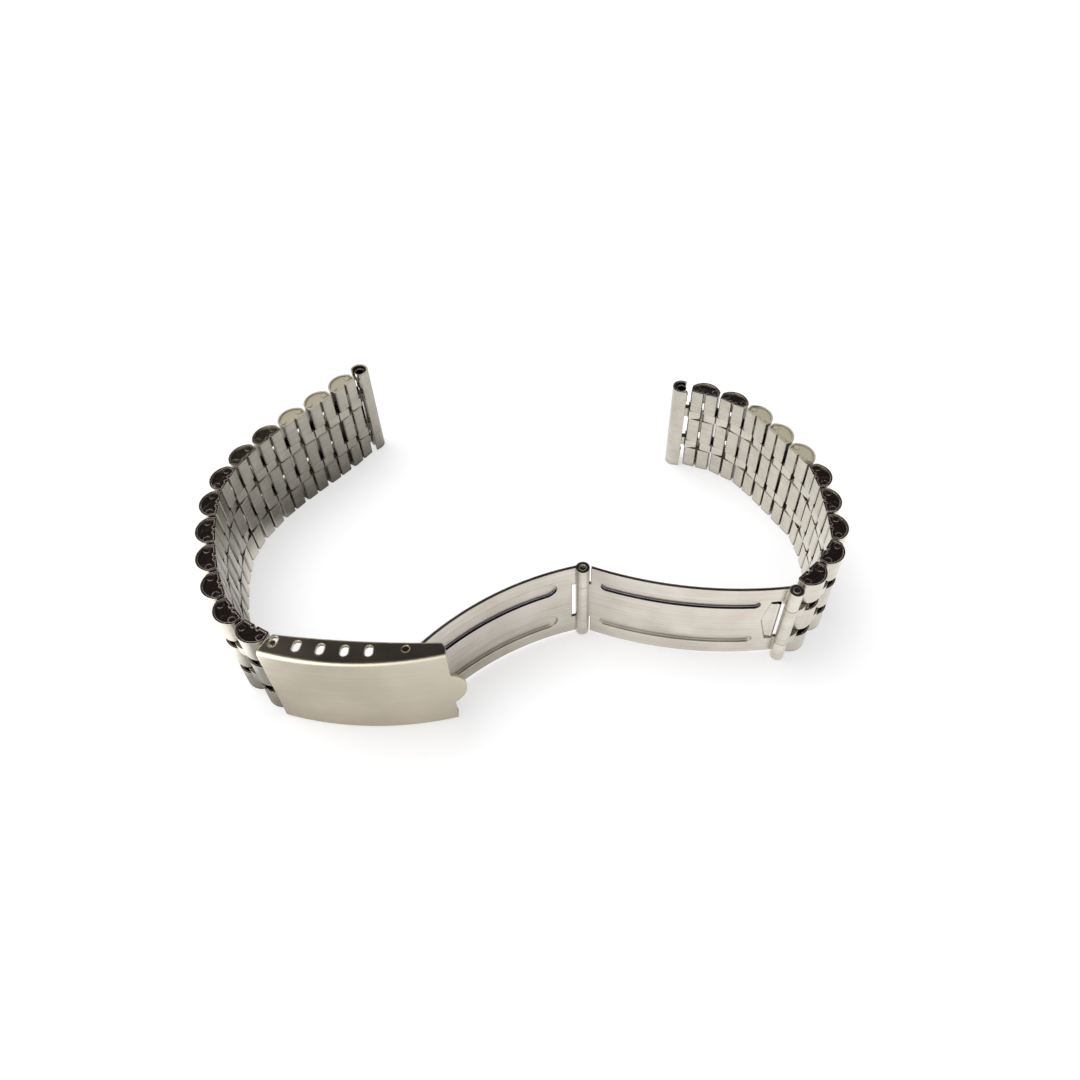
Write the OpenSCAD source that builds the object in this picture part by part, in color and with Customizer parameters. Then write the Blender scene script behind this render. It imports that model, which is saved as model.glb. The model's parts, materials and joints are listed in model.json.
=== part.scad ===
// Steel watch bracelet of folded sheet links, open at its fold-over clasp.
// It stands on one long edge: every hinge pin is upright, +Z is across the bracelet,
// and the clasp cover is at the front (-Y), with its outer face towards -Y.
// All sizes are in millimetres.

/* [Bracelet] */
// Width of the bracelet across its links
bracelet_width = 18; // [17.6:0.1:18.4]
// Radius of the link pins
pin_radius = 0.5; // [0.45:0.01:0.52]
// Radial clearance of a link or knuckle that turns on a pin
running_clearance = 0.05; // [0.03:0.01:0.07]
// Gap left between neighbouring rows of links
row_gap = 0.05; // [0.03:0.01:0.08]
// Thickness of the folded sheet
sheet = 0.3; // [0.26:0.01:0.32]

/* [Links] */
// Distance between the two pins of a large link
link_pin_pitch = 3.2; // [3.14:0.02:3.24]
// Distance between the two pins of a small connector
connector_pin_pitch = 2.1; // [2.06:0.02:2.2]
// Radius of the rolled tips of a large link
link_tip_radius = 0.85; // [0.82:0.01:0.87]
// Height of a large link from the pin line to its outer face
link_crown = 1.75; // [1.6:0.05:1.9]
// Height of a large link from the pin line to its wrist face
link_belly = 1.26; // [1.16:0.02:1.36]
// Height of a connector from the pin line to its outer face
connector_crown = 1.3; // [1.2:0.05:1.4]
// Height of a connector from the pin line to its wrist face
connector_belly = 1.2; // [1.1:0.02:1.2]
// Width of the gap at the seam of a folded link
seam_gap = 0.3; // [0.2:0.05:0.4]
// Height of the middle row of links
middle_row = 5.2; // [5:0.1:5.4]
// Height of each row of connectors
connector_row = 1.9; // [1.8:0.05:2]
// Depth the end plates sit below the rim of an outer link
cap_recess = 0.2; // [0.1:0.05:0.3]
// Thickness of the end plates of an outer link
cap_thickness = 0.6; // [0.4:0.1:0.8]

/* [Free ends] */
// Outer radius of the rolled tube that lies between the watch lugs
end_roll_radius = 1.5; // [1.46:0.01:1.52]
// Radius of the bore for the watch's spring bars
spring_bar_bore_radius = 0.68; // [0.64:0.01:0.7]

/* [Clasp] */
// Radius of the curve of the cover's outer face
cover_curve = 48.15; // [48:0.05:48.3]
// Thickness of the cover's sheet
cover_sheet = 0.55; // [0.5:0.05:0.6]
// Radius of the cover's rounded long edges
cover_edge_radius = 0.65; // [0.5:0.05:0.7]
// Radius of the rounded ends of the adjusting holes
adjusting_hole_radius = 0.55; // [0.5:0.01:0.58]
// Length of the adjusting holes across the flange
hole_length = 1.7; // [1.6:0.05:1.9]
// Thickness of the two folding blades
blade_sheet = 0.5; // [0.45:0.05:0.6]
// Height the ribs of the blades are pressed out by
rib_height = 0.4; // [0.3:0.05:0.45]
// Width of each blade
blade_width = 16.5; // [16.2:0.1:16.6]
// Outer radius of the rolled knuckles
knuckle_radius = 1.05; // [0.98:0.01:1.1]

/* [Hidden] */
$fn = 96;
steel = [0.66, 0.64, 0.6];
bright = [0.78, 0.76, 0.72];
brass = [0.8, 0.68, 0.42];

// Rows from the table up: outer links, connectors, middle links, connectors, outer links
outer_row = (bracelet_width - middle_row - 2 * connector_row) / 2;
z_conn_a = outer_row;
z_middle = outer_row + connector_row;
z_conn_b = z_middle + middle_row;
z_top = z_conn_b + connector_row;
z_mid = bracelet_width / 2;
pin_bore = pin_radius + running_clearance;
held_bore = pin_radius + 0.01;

// Where the part's origin lies in the plan, and the two ends the chains start from
plan = [0.74, -0.11];
cover_front = -29.65;
cover_centre = [-23.5, cover_front + cover_curve] + plan;
pin_line = cover_curve - 2.15;
function angle_at(x) = asin(x / pin_line) - 90;
first_hole_x = -8.86;
hole_pitch = 3.3;
hole_angle = [for (i = [0:4]) angle_at(first_hole_x + i * hole_pitch)];
hinge_x = 9.2;
hinge_angle = angle_at(hinge_x);
spring_bar_line = pin_line + 0.05;
function on_line(a, r) = cover_centre + r * [cos(a), sin(a)];
spring_bar_at = on_line(hole_angle[0], spring_bar_line);
hinge_at = on_line(hinge_angle, pin_line);
knuckle_at = [8.71, -10.79] + plan;
end_knuckle_at = [39.69, -13.23] + plan;

// Direction of each connector and link in turn, from the clasp to the free end, in degrees
left_heading = [160, 154, 145, 135, 125, 119, 116, 112, 108, 105, 102, 98, 91, 79, 72, 66, 62,
  58, 54, 54, 51, 54, 53, 59, 52];
right_heading = [45, 48, 53, 60, 77, 92, 96, 97, 100, 105, 120, 126, 125, 126, 128, 131, 144,
  149, 160, 164, 177];
end_pin_pitch = 2.7;
knuckle_pin_pitch = 2.3;
function step_of(h, i, first) = i == 0 ? first :
  i == len(h) - 1 ? end_pin_pitch :
  i % 2 == 1 ? link_pin_pitch : connector_pin_pitch;
function chain(h, start, first, i) = i == 0 ? start :
  chain(h, start, first, i - 1)
  + step_of(h, i - 1, first) * [cos(h[i - 1]), sin(h[i - 1])];
function left_pin(i) = chain(left_heading, spring_bar_at, connector_pin_pitch, i);
function right_pin(i) = chain(right_heading, end_knuckle_at, knuckle_pin_pitch, i);

// Section of a folded piece: a rolled tip and a small corner at each end, a curved crown
// and a flat wrist face. Straight sides run a hair inside the circles they join.
hair = 0.006;
crown_hair = 0.022;
function bow(h, t) = (h * h - t * t) / (2 * t);
function side_angle(a, b, difference_of_radii) =
  atan2(b[1] - a[1], b[0] - a[0]) + acos(difference_of_radii / norm(b - a));
module folded(tip, tip_r, corner, corner_r, crown, inset) {
  q = tip_r - inset;
  c = corner_r - inset;
  bottom = corner[1] - c + hair;
  t = side_angle(tip, corner, tip_r - corner_r);
  ct = bow(tip[0], crown - tip[1] - tip_r);
  side = [[tip[0], tip[1] + 0.3], tip + (q - hair) * [cos(t), sin(t)],
    corner + (c - hair) * [cos(t), sin(t)], [corner[0], bottom]];
  for (s = [-1, 1]) {
    translate([s * tip[0], tip[1]]) circle(r = q);
    translate([s * corner[0], corner[1]]) circle(r = c);
  }
  polygon([for (k = [0:3]) side[k], for (k = [3:-1:0]) [-side[k][0], side[k][1]]]);
  intersection() {
    translate([0, tip[1] - ct]) circle(r = ct + crown - tip[1] - crown_hair - inset);
    translate([0, tip[1]]) polygon([for (k = [[-1, 0], [1, 0], [1, 1], [-1, 1]])
      [k[0] * (tip[0] + 0.7 * q + 0.832 * k[1]), 4 * k[1]]]);
  }
}

// Section of a large link: one folded sheet with its two edges curled in at the seam
link_corner_radius = sheet + 0.05;
link_corner = [link_pin_pitch / 2 + 0.4, link_corner_radius - link_belly];
bead_x = seam_gap / 2 + sheet;
bead_y = sheet - link_belly - 0.012;
module link_section(inset) {
  folded([link_pin_pitch / 2, 0], link_tip_radius, link_corner, link_corner_radius,
    link_crown, inset);
}
module link_shell() {
  difference() {
    link_section(0);
    link_section(sheet);
    translate([-bead_x, -4]) square([2 * bead_x, 3.5]);
  }
  for (s = [-1, 1]) translate([s * bead_x, bead_y]) circle(r = sheet);
}
module cap_section() {
  difference() {
    link_section(sheet - 0.05);
    translate([-seam_gap / 2, -4]) square([seam_gap, 4 + bead_y + 0.12]);
    for (s = [-1, 1]) translate([s * link_pin_pitch / 2, 0]) circle(r = held_bore);
  }
}
module outer_link() {
  // Drawn for the lower row, with its end plate near the table
  linear_extrude(outer_row) link_shell();
  translate([0, 0, cap_recess]) linear_extrude(cap_thickness) cap_section();
}
module link_pins() {
  for (s = [-1, 1]) translate([s * link_pin_pitch / 2, 0, cap_recess - 0.08])
    cylinder(h = bracelet_width - 2 * cap_recess + 0.16, r = pin_radius, $fn = 48);
}
module link() color(steel) {
  outer_link();
  translate([0, 0, bracelet_width]) mirror([0, 0, 1]) outer_link();
  translate([0, 0, z_middle]) linear_extrude(middle_row) link_shell();
  link_pins();
}

// Section of a small connector, with its seam on the wrist side
conn_tip = [connector_pin_pitch / 2 + 0.8, -0.25];
conn_corner = [connector_pin_pitch / 2 + 0.9, 0.35 - connector_belly];
module conn_body() {
  difference() {
    folded(conn_tip, 0.55, conn_corner, 0.35, connector_crown, 0);
    translate([-0.11, -4]) square([0.22, 3.15]);
  }
}
module conn_section() {
  difference() {
    conn_body();
    for (s = [-1, 1]) translate([s * connector_pin_pitch / 2, 0]) circle(r = pin_bore, $fn = 48);
  }
}
module in_rows(gap) {
  for (z = [z_conn_a, z_conn_b]) translate([0, 0, z + gap])
    linear_extrude(connector_row - 2 * gap) children();
}
module connector() {
  color(steel) in_rows(row_gap) conn_section();
}

// Connector of a free end: its near end is pinned to a link, its far end turns on the sleeve
sleeve_radius = spring_bar_bore_radius + 0.15;
end_bore = sleeve_radius + running_clearance;
end_x = end_pin_pitch / 2;
module end_connector() {
  color(steel) in_rows(row_gap) difference() {
    union() {
      translate([end_x, 0]) circle(r = end_bore + 0.28);
      translate([end_x - 1.9, -0.5]) square([1.2, 1]);
      intersection() {
        translate([connector_pin_pitch / 2 - end_x, 0]) conn_body();
        translate([end_x - 1.65 - 10, -4]) square([10, 8]);
      }
    }
    translate([end_x, 0]) circle(r = end_bore);
    translate([-end_x, 0]) circle(r = pin_bore, $fn = 48);
  }
}

// Rolled tube between the watch lugs, open along the side that faces the first link
tube_inner = end_roll_radius - 0.28;
module end_roll() {
  color(steel) linear_extrude(bracelet_width) {
    difference() {
      circle(r = end_roll_radius);
      circle(r = tube_inner);
      polygon([[0, 0], [-3, 4.28], [-3, -2], [0, -2]]);
    }
    translate([-1, -end_roll_radius]) square([1.05, 0.28]);
  }
}
// Inner sleeve that carries the connectors, with a collar near each end
module end_sleeve() {
  color(bright) rotate_extrude() polygon([[spring_bar_bore_radius, 0.4], [sleeve_radius, 0.4],
    [sleeve_radius, 1.5], [tube_inner - 0.02, 1.5], [tube_inner - 0.02, 3], [sleeve_radius, 3],
    [sleeve_radius, bracelet_width - 3], [tube_inner - 0.02, bracelet_width - 3],
    [tube_inner - 0.02, bracelet_width - 1.5], [sleeve_radius, bracelet_width - 1.5],
    [sleeve_radius, bracelet_width - 0.4], [spring_bar_bore_radius, bracelet_width - 0.4]]);
}

// Round-ended slot, its straight sides crossing the round ends by a hair
module stadium(length, r) {
  for (s = [-1, 1]) translate([s * length / 2, 0]) circle(r = r);
  square([length, 1.99 * r], center = true);
}

// Clasp cover: one bent sheet whose outer face curves about cover_centre
module on_pin_line(a, r = pin_line) {
  translate(cover_centre) rotate(a) translate([r, 0]) children();
}
module cover_profile() {
  r = cover_curve;
  e = cover_edge_radius;
  difference() {
    union() {
      translate([r - 5, 0]) square([5 - e, bracelet_width]);
      translate([r - 2, e]) square([2, bracelet_width - 2 * e]);
      for (z = [e, bracelet_width - e]) translate([r - e, z]) circle(r = e);
    }
    translate([r - 6, cover_sheet])
      square([6 - cover_sheet, bracelet_width - 2 * cover_sheet]);
  }
}
module cover_plan() {
  translate(plan) polygon([[-33.45, -26.35], [-33, -25.9], [-32.7, -25.4], [-32.4, -23.5],
    [-10.9, -23.5], [-10.6, -24.9],
    [-9.5, -25.35], [-8.95, -26], [-8.8, -26.9], [-7.6, -30.7], [-35.05, -30.7]]);
}
tab_radius = 4.4;
tab_angle = angle_at(11.96);
module cover() {
  color(steel) difference() {
    intersection() {
      translate(cover_centre) rotate(-110) rotate_extrude(angle = 44, $fn = 180) cover_profile();
      union() {
        linear_extrude(bracelet_width) cover_plan();
        on_pin_line(tab_angle, pin_line + 0.5) translate([0, 0, bracelet_width / 2 - 0.2])
          rotate([0, 90, 0]) cylinder(h = 3, r = tab_radius);
      }
    }
    // Flatter curve of the flanges along the wrist side
    translate([-22, 124.2] + plan) translate([0, 0, -1])
      cylinder(h = bracelet_width + 2, r = 150, $fn = 360);
    translate([0, 0, -1]) linear_extrude(bracelet_width + 2) {
      for (a = hole_angle) on_pin_line(a, pin_line - 0.1)
        stadium(hole_length - 2 * adjusting_hole_radius, adjusting_hole_radius);
      on_pin_line(hinge_angle) circle(r = held_bore, $fn = 48);
    }
  }
}
module hinge_pin() {
  color(brass) on_pin_line(hinge_angle) translate([0, 0, 0.1])
    cylinder(h = bracelet_width - 0.2, r = pin_radius, $fn = 48);
}
module clasp_spring_bar() {
  color(brass) on_pin_line(hole_angle[0], spring_bar_line) {
    translate([0, 0, 0.8]) cylinder(h = bracelet_width - 1.6, r = pin_radius, $fn = 48);
    translate([0, 0, 0.1]) cylinder(h = bracelet_width - 0.2, r = 0.4, $fn = 48);
  }
}

// Folding blades: x runs from knuckle to knuckle, y is across the sheet
blade_z = (bracelet_width - blade_width) / 2;
middle_knuckle = 8.5;
knuckle_low = z_mid - middle_knuckle / 2;
knuckle_high = z_mid + middle_knuckle / 2;
inner_span = norm(knuckle_at - hinge_at);
inner_angle = atan2(knuckle_at[1] - hinge_at[1], knuckle_at[0] - hinge_at[0]);
end_span = norm(end_knuckle_at - knuckle_at);
end_angle = atan2(end_knuckle_at[1] - knuckle_at[1], end_knuckle_at[0] - knuckle_at[0]);
inner_curve = [15.56, -40.03, 42.5];
end_curve = [14.66, 57.74, 59.33];

// Band of a curve [centre x, centre y, radius], from depth d1 to d2 inside its radius
module band(curve, d1, d2, x1, x2) {
  intersection() {
    translate([curve[0], curve[1]]) difference() {
      circle(r = curve[2] - d1, $fn = 360);
      circle(r = curve[2] - d2, $fn = 360);
    }
    translate([x1, -6]) square([x2 - x1, 12]);
  }
}
// Prism across the sheet, drawn in x and z
module across() {
  rotate([90, 0, 0]) linear_extrude(12, center = true) children();
}
module at_ribs(x1, x2, offset_z, r) {
  across() for (s = [-1, 1]) translate([(x1 + x2) / 2, z_mid + s * offset_z])
    stadium(x2 - x1 - 2 * r, r);
}
// Ribs stand out on the outer side of a blade, or with inward on its wrist side
module rib_bumps(curve, x1, x2, offset_z, r, inward = false) {
  d = inward ? [blade_sheet - 0.1, blade_sheet + rib_height] : [-rib_height, 0.1];
  intersection() {
    linear_extrude(bracelet_width) band(curve, d[0], d[1], x1 - 1, x2 + 1);
    at_ribs(x1, x2, offset_z, r);
  }
}
module rib_grooves(curve, x1, x2, offset_z, r, inward = false) {
  d = inward ? [-0.2, rib_height] : [blade_sheet - rib_height, blade_sheet + 0.2];
  intersection() {
    linear_extrude(bracelet_width) band(curve, d[0], d[1], x1 - 1, x2 + 1);
    at_ribs(x1 + 0.35, x2 - 0.35, offset_z, r - 0.35);
  }
}

module blade_inner() {
  color(bright) translate(hinge_at) rotate(inner_angle) difference() {
    union() {
      translate([0, 0, blade_z]) {
        linear_extrude(blade_width) {
          band(inner_curve, 0, blade_sheet, 0.6, inner_span - 1.55);
          circle(r = 0.95);
        }
        for (z = [0, blade_width - (knuckle_low - 0.05 - blade_z)]) translate([0, 0, z])
          linear_extrude(knuckle_low - 0.05 - blade_z) {
            band(inner_curve, 0, blade_sheet, inner_span - 2, inner_span - 0.6);
            translate([inner_span, 0]) circle(r = knuckle_radius);
          }
      }
      rib_bumps(inner_curve, 3, 24.5, 4.2, 1.95);
    }
    rib_grooves(inner_curve, 3, 24.5, 4.2, 1.95);
    cylinder(h = bracelet_width, r = pin_bore, $fn = 48);
    translate([inner_span, 0, 0]) cylinder(h = bracelet_width, r = held_bore, $fn = 48);
  }
}
module knuckle_pin() {
  color(bright) translate(knuckle_at) translate([0, 0, blade_z + 0.25])
    cylinder(h = blade_width - 0.5, r = pin_radius, $fn = 48);
}

// Window of the outer blade, in x and z, with x measured from the end knuckle,
// and the tongue left standing in it
module window_plan() {
  translate([end_span, 0]) polygon([[-3.9, 9.6], [-3, 14.2], [-1.35, 14.2],
    [-1.35, end_high + 0.05], [2, end_high + 0.05], [2, end_low - 0.05],
    [-1.35, end_low - 0.05], [-1.35, 4.2], [-2.6, 4.2]]);
}
tongue_x = end_span - 1.75;
rib_end_x = end_span - 4.2;
end_low = 4.5;
end_high = bracelet_width - end_low;
module blade_end() {
  color(bright) translate(knuckle_at) rotate(end_angle) difference() {
    union() {
      difference() {
        union() {
          translate([0, 0, blade_z]) linear_extrude(blade_width)
            band(end_curve, 0, blade_sheet, 1.25, end_span - 0.4);
          rib_bumps(end_curve, 2.4, rib_end_x, 4.6, 1.25, true);
        }
        across() window_plan();
      }
      translate([0, 0, knuckle_low]) linear_extrude(middle_knuckle) {
        band(end_curve, 0, blade_sheet, 0.7, 2);
        circle(r = knuckle_radius);
      }
      for (z = [0.3, end_high + 0.05]) translate([end_span, 0, z])
        cylinder(h = end_low - 0.35, r = knuckle_radius + 0.05);
      // Tongue, bent a little below the face, with its rolled edge
      intersection() {
        translate([0, 0, 4]) linear_extrude(10)
          band(end_curve, 0.25, blade_sheet + 0.25, tongue_x - 2.6, tongue_x);
        across() translate([tongue_x, 0])
          polygon([[-2.25, 9.6], [-1.5, 13.4], [0, 13.1], [0, 4.5], [-1.05, 4.6]]);
      }
      translate([tongue_x, end_curve[1]
        - sqrt(pow(end_curve[2] - 0.5, 2) - pow(tongue_x - end_curve[0], 2)), 4.4])
        cylinder(h = 8.8, r = 0.36);
    }
    rib_grooves(end_curve, 2.4, rib_end_x, 4.6, 1.25, true);
    cylinder(h = bracelet_width, r = pin_bore, $fn = 48);
    translate([end_span, 0, 0]) cylinder(h = bracelet_width, r = held_bore, $fn = 48);
  }
}
module end_knuckle_pin() {
  color(bright) translate(end_knuckle_at) translate([0, 0, 0.2])
    cylinder(h = bracelet_width - 0.4, r = pin_radius, $fn = 48);
}
// Wide barrel that turns on the end knuckle pin, with two legs that carry the first right link
module knuckle_connector() {
  x = knuckle_pin_pitch / 2;
  color(steel) right_at(0) difference() {
    union() {
      translate([x, 0, z_conn_a + row_gap])
        cylinder(h = z_top - z_conn_a - 2 * row_gap, r = knuckle_radius + 0.05);
      in_rows(row_gap) intersection() {
        translate([connector_pin_pitch / 2 - x, 0]) conn_body();
        translate([x - 10, -4]) square([10, 8]);
      }
    }
    for (s = [-1, 1]) translate([s * x, 0, 0])
      cylinder(h = bracelet_width, r = pin_bore, $fn = 48);
  }
}

// Placing a piece between pins i and i + 1 of a half, its outer face away from the wrist
module left_at(i) {
  translate((left_pin(i) + left_pin(i + 1)) / 2) rotate(left_heading[i]) children();
}
module right_at(i) {
  translate((right_pin(i) + right_pin(i + 1)) / 2) rotate(right_heading[i] + 180) children();
}
left_last = len(left_heading) - 1;
right_last = len(right_heading) - 1;
module at_left_end() {
  translate(left_pin(left_last + 1)) rotate(left_heading[left_last]) children();
}
module at_right_end() {
  translate(right_pin(right_last + 1)) rotate(right_heading[right_last] + 180)
    mirror([1, 0, 0]) children();
}
function numbered(name, i) = str(name, i < 10 ? "0" : "", i);

cover();
hinge_pin();
clasp_spring_bar();
blade_inner();
knuckle_pin();
blade_end();
end_knuckle_pin();
knuckle_connector();
for (i = [1:12])
  left_at(2 * i - 2) connector();
for (i = [1:12])
  left_at(2 * i - 1) link();
for (i = [1:9])
  right_at(2 * i) connector();
for (i = [1:10])
  right_at(2 * i - 1) link();
left_at(left_last) end_connector();  // left_end_connector
right_at(right_last) mirror([1, 0, 0]) end_connector();  // right_end_connector
at_left_end() end_roll();  // left_end_roll
at_right_end() end_roll();  // right_end_roll
at_left_end() end_sleeve();  // left_end_sleeve
at_right_end() end_sleeve();  // right_end_sleeve
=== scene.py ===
"""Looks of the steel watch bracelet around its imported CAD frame."""

import json
import math

import bpy
from mathutils import Matrix, Vector

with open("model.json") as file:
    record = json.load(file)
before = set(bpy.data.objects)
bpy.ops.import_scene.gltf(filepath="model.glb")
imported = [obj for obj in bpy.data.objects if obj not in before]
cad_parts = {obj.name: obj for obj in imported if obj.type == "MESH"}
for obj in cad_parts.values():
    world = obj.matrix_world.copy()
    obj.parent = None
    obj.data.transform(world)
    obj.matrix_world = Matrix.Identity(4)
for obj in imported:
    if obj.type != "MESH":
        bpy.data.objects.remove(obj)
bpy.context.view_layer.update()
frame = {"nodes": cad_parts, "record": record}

MM = 0.001
IMAGE = 1080

# Camera, fitted to the photograph
CAMERA_AT = Vector((13.74, -90.99, 125.4)) * MM
YAW = math.radians(-1.22)
PITCH = math.radians(51.69)
ROLL = math.radians(2.05)
FOCAL_PX = 921.7
CENTRE_PX = (601.4, 539.6)

WHITE = (1, 1, 1)

# Floor, in metres. The camera sees a grey that takes the shadows, and its glow makes it white.
FLOOR_SIZE = 1.2
FLOOR_DROP = 0.02 * MM
FLOOR_COLOUR = (0.93, 0.93, 0.93)
FLOOR_SEEN = (0.56, 0.56, 0.57)
FLOOR_GLOW = 0.56
# What metal mirrors of it: its brightness from left to right, a glow painted only for
# reflections, and painted shade at the left
FLOOR_REACH = 60 * MM
FLOOR_MIRRORED = [(0.0, (1.5,) * 3), (0.1, (1.5,) * 3), (0.15, (0.0,) * 3), (0.92, (0.7,) * 3)]
FLOOR_MIRRORED_SHADE = (0.4, 0.4, 0.38)

# One soft lamp over the back left, in metres and watts
LAMP_AT = (-0.4, 0.25, 1.2)
LAMP_SIZE = 0.9
LAMP_POWER = 9.0

# Plain light of the sky, and the sky that metal mirrors: from the horizon to the top, as
# (height, colour), behind the bracelet and in front of it, and its level at the left and right
SKY_LEVEL = (0.5, 0.5, 0.51)
SKY_BEHIND = [(0.0, WHITE), (0.2, (0.85, 0.84, 0.82)), (0.38, (0.16, 0.15, 0.14)),
              (0.55, (0.012, 0.010, 0.009))]
SKY_BEFORE = [(0.0, WHITE), (0.2, (1.3, 1.28, 1.2)), (0.6, (1.3, 1.28, 1.2)),
              (0.8, (0.05, 0.05, 0.05))]
SKY_LEFT, SKY_RIGHT = 2.0, 0.9

# Steel of each slot, as steel() describes the values
STEELS = {
    "cover_steel": dict(dark=(0.67, 0.61, 0.50), light=(0.82, 0.75, 0.62), rough=(0.30, 0.40),
                        brush=0.005, edge=0.35, grain=0.15),
    "link_steel": dict(dark=(0.39, 0.37, 0.31), light=(0.52, 0.49, 0.43), rough=(0.24, 0.32),
                       brush=0.0015, edge=0.14),
    "connector_steel": dict(dark=(0.42, 0.40, 0.34), light=(0.56, 0.53, 0.47),
                            rough=(0.24, 0.32), brush=0.0015, edge=0.2),
    "blade_steel": dict(dark=(0.46, 0.42, 0.36), light=(0.62, 0.59, 0.54), rough=(0.26, 0.36),
                        brush=0.0015, edge=0.25, grain=0.16),
    "pin_steel": dict(dark=(0.50, 0.48, 0.44), light=(0.62, 0.60, 0.55), rough=(0.2, 0.3),
                      brush=0.002, edge=0.08),
    "pin_brass": dict(dark=(0.62, 0.50, 0.26), light=(0.80, 0.68, 0.40), rough=(0.2, 0.3),
                      brush=0.002, edge=0.08),
}

# Painted reflection on the end plates: dark, brown and golden tones that stand in for how each
# plate's tilt mirrors the light; they reach this many millimetres from the middle, to the
# front and back
PLATE_REACH = 30
PLATE_DARK = (0.38, 0.32, 0.29)
PLATE_BROWN = (0.42, 0.37, 0.30)
PLATE_GOLD = (0.72, 0.66, 0.50)
PLATES_LEFT = [(-PLATE_REACH, PLATE_DARK), (3, PLATE_DARK), (6, PLATE_BROWN),
               (13.2, PLATE_BROWN), (14.4, PLATE_GOLD), (PLATE_REACH, PLATE_GOLD)]
PLATES_RIGHT = [(-PLATE_REACH, PLATE_DARK), (11.2, PLATE_DARK), (12.4, PLATE_GOLD),
                (23.8, PLATE_GOLD), (24.3, PLATE_DARK), (PLATE_REACH, PLATE_DARK)]


def make_camera():
    """Camera with the photograph's place, turn and lens."""
    data = bpy.data.cameras.new("photo_camera")
    cam = bpy.data.objects.new("photo_camera", data)
    bpy.context.scene.collection.objects.link(cam)
    ahead = Vector((math.sin(YAW) * math.cos(PITCH), math.cos(YAW) * math.cos(PITCH),
                    -math.sin(PITCH)))
    right = Vector((math.cos(YAW), -math.sin(YAW), 0))
    up = right.cross(ahead)
    right = math.cos(ROLL) * right + math.sin(ROLL) * up
    up = right.cross(ahead)
    turn = Matrix((right, up, -ahead)).transposed().to_4x4()
    cam.matrix_world = Matrix.Translation(CAMERA_AT) @ turn
    data.sensor_width = 36
    data.lens = FOCAL_PX / IMAGE * data.sensor_width
    data.shift_x = (IMAGE / 2 - CENTRE_PX[0]) / IMAGE
    data.shift_y = (CENTRE_PX[1] - IMAGE / 2) / IMAGE
    data.clip_start = 0.005
    data.dof.use_dof = False
    bpy.context.scene.camera = cam


class Nodes:
    """A node tree with short calls for the nodes that are used here."""

    def __init__(self, tree):
        self.tree = tree

    def add(self, kind, **settings):
        node = self.tree.nodes.new(kind)
        for key, value in settings.items():
            setattr(node, key, value)
        return node

    def link(self, out, into):
        self.tree.links.new(out, into)

    def position(self, kind="Object"):
        """Coordinates on separate sockets: the object's in metres, or Generated in the sky."""
        where = self.add("ShaderNodeTexCoord")
        place = self.add("ShaderNodeSeparateXYZ")
        self.link(where.outputs[kind], place.inputs[0])
        return place.outputs

    def facing_up(self, kind):
        """Vertical part of the surface's normal, smooth or true by kind."""
        geometry = self.add("ShaderNodeNewGeometry")
        axes = self.add("ShaderNodeSeparateXYZ")
        self.link(geometry.outputs[kind], axes.inputs[0])
        return axes.outputs["Z"]

    def noise(self, scale, detail, roughness=0.6, distortion=0.0):
        """Clouds, with their number in a millimetre given for each axis."""
        where = self.add("ShaderNodeTexCoord")
        mapping = self.add("ShaderNodeMapping")
        mapping.inputs["Scale"].default_value = [s / MM for s in scale]
        self.link(where.outputs["Object"], mapping.inputs["Vector"])
        tex = self.add("ShaderNodeTexNoise")
        tex.inputs["Distortion"].default_value = distortion
        tex.inputs["Scale"].default_value = 1.0
        tex.inputs["Detail"].default_value = detail
        tex.inputs["Roughness"].default_value = roughness
        self.link(mapping.outputs["Vector"], tex.inputs["Vector"])
        return tex.outputs["Fac"]

    def remap(self, value, low, high, clip):
        """Value from low to high where the socket goes from clip's first to its last."""
        node = self.add("ShaderNodeMapRange")
        node.inputs["From Min"].default_value = clip[0]
        node.inputs["From Max"].default_value = clip[1]
        node.inputs["To Min"].default_value = low
        node.inputs["To Max"].default_value = high
        self.link(value, node.inputs["Value"])
        return node.outputs["Result"]

    def times(self, *values):
        """Product of sockets."""
        result = values[0]
        for value in values[1:]:
            node = self.add("ShaderNodeMath", operation="MULTIPLY")
            self.link(result, node.inputs[0])
            self.link(value, node.inputs[1])
            result = node.outputs[0]
        return result

    def ramp(self, value, stops):
        """Colours by value, with stops given as (position, colour)."""
        node = self.add("ShaderNodeValToRGB")
        self.link(value, node.inputs["Fac"])
        elements = node.color_ramp.elements
        while len(elements) < len(stops):
            elements.new(0.5)
        for element, (at, colour) in zip(elements, stops):
            element.position = at
            element.color = (*colour, 1)
        return node.outputs["Color"]

    def mix(self, factor, a, b, kind="RGBA"):
        """Mixes two sockets of one kind, where a colour can also be three numbers."""
        node = self.add("ShaderNodeMix", data_type=kind)
        self.link(factor, node.inputs["Factor"])
        for name, colour in (("A", a), ("B", b)):
            if isinstance(colour, tuple):
                node.inputs[name].default_value = (*colour, 1)
            else:
                self.link(colour, node.inputs[name])
        return node.outputs["Result"]


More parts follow.
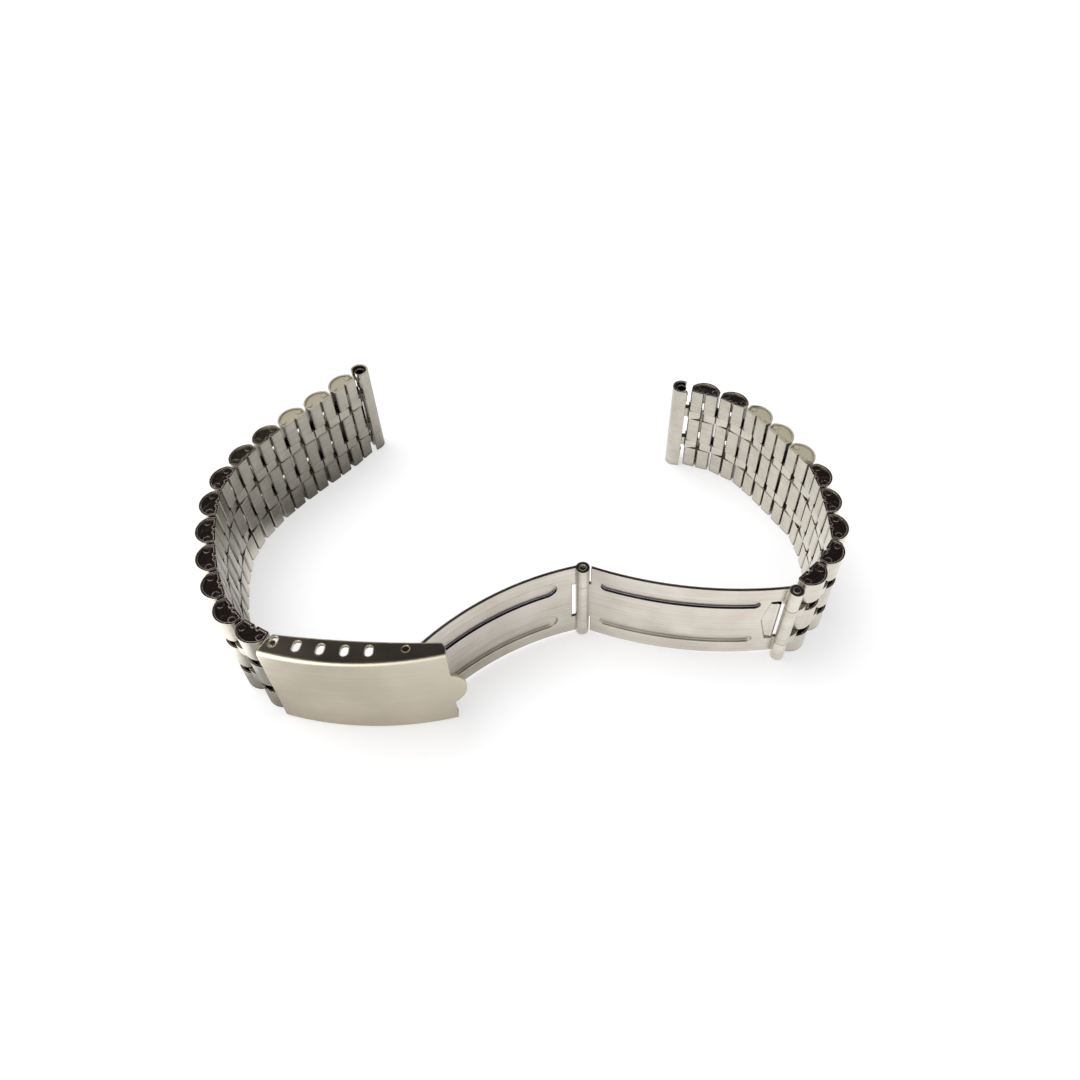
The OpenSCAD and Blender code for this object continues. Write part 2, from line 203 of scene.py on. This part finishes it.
class Material(Nodes):
    """A new material and the calls that change its one shader."""

    def __init__(self, name):
        self.material = bpy.data.materials.new(name)
        self.material.use_nodes = True
        super().__init__(self.material.node_tree)
        self.bsdf = self.tree.nodes["Principled BSDF"]

    def cover(self, name, factor, value, kind="RGBA"):
        """Mixes a value over one linked input of the shader where factor is 1."""
        into = self.bsdf.inputs[name]
        self.link(self.mix(factor, into.links[0].from_socket, value, kind), into)

    # Painted shade: mixes a darker colour over the base colour where factor is 1
    def paint_shade(self, factor, colour):
        self.cover("Base Color", factor, colour)

    def relief(self, height, strength, distance, edge):
        """Normal of a surface with a bump on it and softened edges, both in millimetres."""
        bevel = self.add("ShaderNodeBevel", samples=6)
        bevel.inputs["Radius"].default_value = edge * MM
        node = self.add("ShaderNodeBump")
        node.inputs["Strength"].default_value = strength
        node.inputs["Distance"].default_value = distance * MM
        self.link(height, node.inputs["Height"])
        self.link(bevel.outputs["Normal"], node.inputs["Normal"])
        return node.outputs["Normal"]


def steel(name, dark, light, rough, brush, edge, grain=0.3):
    """Metal with brush lines along the bracelet, clouds of tarnished tone and softened edges.

    dark and light are the two tones, rough the range of roughness, brush the depth of the
    brush lines in millimetres, edge the radius of the softened edges in millimetres and
    grain the number of clouds in a millimetre.
    """
    line_share, cloud_share = 0.45, 0.55
    clip = (0.35, 0.65)
    n = Material(name)
    lines = n.noise((0.05, 0.05, 5.0), detail=3.0)
    clouds = n.noise((grain, grain, grain), detail=2.0, roughness=0.5)
    tone = n.add("ShaderNodeMath", operation="MULTIPLY_ADD")
    tone.inputs[1].default_value = line_share
    n.link(lines, tone.inputs[0])
    cloud_part = n.add("ShaderNodeMath", operation="MULTIPLY")
    cloud_part.inputs[1].default_value = cloud_share
    n.link(clouds, cloud_part.inputs[0])
    n.link(cloud_part.outputs[0], tone.inputs[2])
    spread = n.remap(tone.outputs[0], 0.0, 1.0, clip)
    n.bsdf.inputs["Metallic"].default_value = 1.0
    n.link(n.mix(spread, dark, light), n.bsdf.inputs["Base Color"])
    n.link(n.remap(tone.outputs[0], *rough, clip), n.bsdf.inputs["Roughness"])
    n.link(n.relief(lines, 0.5, brush, edge), n.bsdf.inputs["Normal"])
    return n


def along_plates(n, y, stops):
    """Colours along y, stops as (y in millimetres, colour)."""
    reach = PLATE_REACH
    place = n.remap(y, 0.0, 1.0, clip=(-reach * MM, reach * MM))
    return n.ramp(place, [((at + reach) / (2 * reach), colour) for at, colour in stops])


def press_ends(n, swirl, edge):
    """End plates: dark and wavy in places, dull and golden in others, with the tones along the
    bracelet painted reflection.

    swirl is the depth of the waves and edge the radius of the softened edges, in millimetres.
    """
    place = n.position()
    side = n.remap(place["X"], 0.0, 1.0, clip=(-MM, MM))
    left, right = (along_plates(n, place["Y"], stops) for stops in (PLATES_LEFT, PLATES_RIGHT))
    tone = n.mix(side, left, right)
    dull = n.add("ShaderNodeSeparateColor")
    n.link(tone, dull.inputs[0])
    roughness = n.remap(dull.outputs["Red"], 0.2, 0.62, clip=(0.34, 0.72))

    upright = n.add("ShaderNodeMath", operation="ABSOLUTE")
    n.link(n.facing_up("True Normal"), upright.inputs[0])
    face = n.remap(upright.outputs[0], 0.0, 1.0, clip=(0.9, 0.98))
    # Painted reflection: the golden plates are made less metallic so their painted gold shows
    painted_gold_face = n.times(face, dull.outputs["Red"])
    n.link(n.remap(painted_gold_face, 1.0, 0.5, clip=(0.42, 0.72)), n.bsdf.inputs["Metallic"])
    swirls = n.noise((0.65, 0.65, 0.3), detail=1.0, roughness=0.5, distortion=1.0)
    normal = n.relief(swirls, 1.0, swirl, edge)
    n.cover("Base Color", face, tone)
    n.cover("Roughness", face, roughness, "FLOAT")
    n.cover("Normal", face, normal, "VECTOR")


def paint_seam_shade(n, reach):
    """Painted shade in the narrow gaps, where surfaces are closer than reach millimetres."""
    near = n.add("ShaderNodeAmbientOcclusion", samples=6)
    near.inputs["Distance"].default_value = reach * MM
    # Painted shade: near-black mixed in where the gaps are occluded
    n.paint_shade(n.remap(near.outputs["AO"], 1.0, 0.0, clip=(0.25, 0.75)), (0.05, 0.045, 0.04))


def paint_groove_reflection(n):
    """Painted dark reflection: a blue-black line on the lower wall of the upper groove of each
    blade, where it faces up.
    """
    height = n.position()["Z"]
    faces_up = n.remap(n.facing_up("Normal"), 0.0, 1.0, clip=(0.12, 0.35))
    above = n.remap(height, 0.0, 1.0, clip=(9 * MM, 10 * MM))
    below = n.remap(height, 1.0, 0.0, clip=(15.4 * MM, 16 * MM))
    # Painted reflection of the dark sky on upward-facing walls
    n.paint_shade(n.times(faces_up, above, below), (0.03, 0.03, 0.06))


def paint_cover_shade(n):
    """Painted shade: the cover darker towards its thumb tab."""
    n.paint_shade(n.remap(n.position()["X"], 0.0, 0.75, clip=(-30 * MM, -2 * MM)),
            (0.46, 0.42, 0.34))


def dress():
    """Gives every CAD node the material of its slot."""
    looks = {name: steel(name, **values) for name, values in STEELS.items()}
    press_ends(looks["link_steel"], swirl=0.16, edge=0.24)
    paint_seam_shade(looks["link_steel"], reach=0.7)
    paint_seam_shade(looks["connector_steel"], reach=0.7)
    paint_groove_reflection(looks["blade_steel"])
    paint_cover_shade(looks["cover_steel"])
    slots = {s["node"]: s["material_slot"] for s in frame["record"]["subparts"]}
    for name, obj in frame["nodes"].items():
        obj.data.materials.clear()
        obj.data.materials.append(looks[slots[name]].material)


def make_floor():
    """White floor; metal mirrors it darker at the left and brighter at the right, through
    painted shade and a painted glow.
    """
    mesh = bpy.data.meshes.new("floor")
    s = FLOOR_SIZE / 2
    mesh.from_pydata([(-s, -s, 0), (s, -s, 0), (s, s, 0), (-s, s, 0)], [], [(0, 1, 2, 3)])
    floor = bpy.data.objects.new("floor", mesh)
    floor.location.z = -FLOOR_DROP
    bpy.context.scene.collection.objects.link(floor)
    n = Material("floor_white")
    n.bsdf.inputs["Roughness"].default_value = 0.9
    path = n.add("ShaderNodeLightPath").outputs
    across = n.position()["X"]
    place = n.remap(across, 0.0, 1.0, clip=(-FLOOR_REACH, FLOOR_REACH))
    glow = n.add("ShaderNodeMath", operation="MULTIPLY_ADD")
    glow.inputs[1].default_value = FLOOR_GLOW
    n.link(path["Is Camera Ray"], glow.inputs[0])
    # Painted reflection: a glow that only glossy rays see, set by position across the floor
    n.link(n.times(path["Is Glossy Ray"], n.ramp(place, FLOOR_MIRRORED)), glow.inputs[2])
    n.bsdf.inputs["Emission Color"].default_value = (*WHITE, 1)
    n.link(glow.outputs[0], n.bsdf.inputs["Emission Strength"])
    n.link(n.mix(path["Is Camera Ray"], FLOOR_COLOUR, FLOOR_SEEN), n.bsdf.inputs["Base Color"])
    # Painted shade that only glossy rays see: the mirrored floor darker at the left
    left = n.remap(across, 0.6, 0.0, clip=(-32 * MM, 0))
    n.paint_shade(n.times(path["Is Glossy Ray"], left), FLOOR_MIRRORED_SHADE)
    mesh.materials.append(n.material)


def make_lamp():
    """Soft lamp that gives the floor its shadows and stays out of reflections."""
    data = bpy.data.lights.new("overhead", "AREA")
    data.shape = "DISK"
    data.size = LAMP_SIZE
    data.energy = LAMP_POWER
    lamp = bpy.data.objects.new("overhead", data)
    lamp.location = LAMP_AT
    aim = Vector((0, 0, 0.01)) - Vector(LAMP_AT)
    lamp.rotation_euler = aim.to_track_quat("-Z", "Y").to_euler()
    lamp.visible_glossy = False
    bpy.context.scene.collection.objects.link(lamp)


def make_world():
    """Plain grey light, white for the camera, and for reflections a sky with a dark top."""
    world = bpy.data.worlds.new("studio")
    bpy.context.scene.world = world
    world.use_nodes = True
    n = Nodes(world.node_tree)
    ray = n.add("ShaderNodeLightPath").outputs
    towards = n.position("Generated")
    before = n.remap(towards["Y"], 0.0, 1.0, clip=(0.0, -0.4))
    sky = n.mix(before, n.ramp(towards["Z"], SKY_BEHIND), n.ramp(towards["Z"], SKY_BEFORE))
    level = n.add("ShaderNodeVectorMath", operation="SCALE")
    n.link(sky, level.inputs[0])
    n.link(n.remap(towards["X"], SKY_LEFT, SKY_RIGHT, clip=(-0.9, 0.9)), level.inputs["Scale"])
    plain = n.mix(ray["Is Camera Ray"], SKY_LEVEL, WHITE)
    back = world.node_tree.nodes["Background"]
    n.link(n.mix(ray["Is Glossy Ray"], plain, level.outputs["Vector"]), back.inputs["Color"])
    back.inputs["Strength"].default_value = 1.0


make_camera()
make_world()
make_floor()
make_lamp()
dress()

bpy.context.scene.view_settings.view_transform = "Standard"
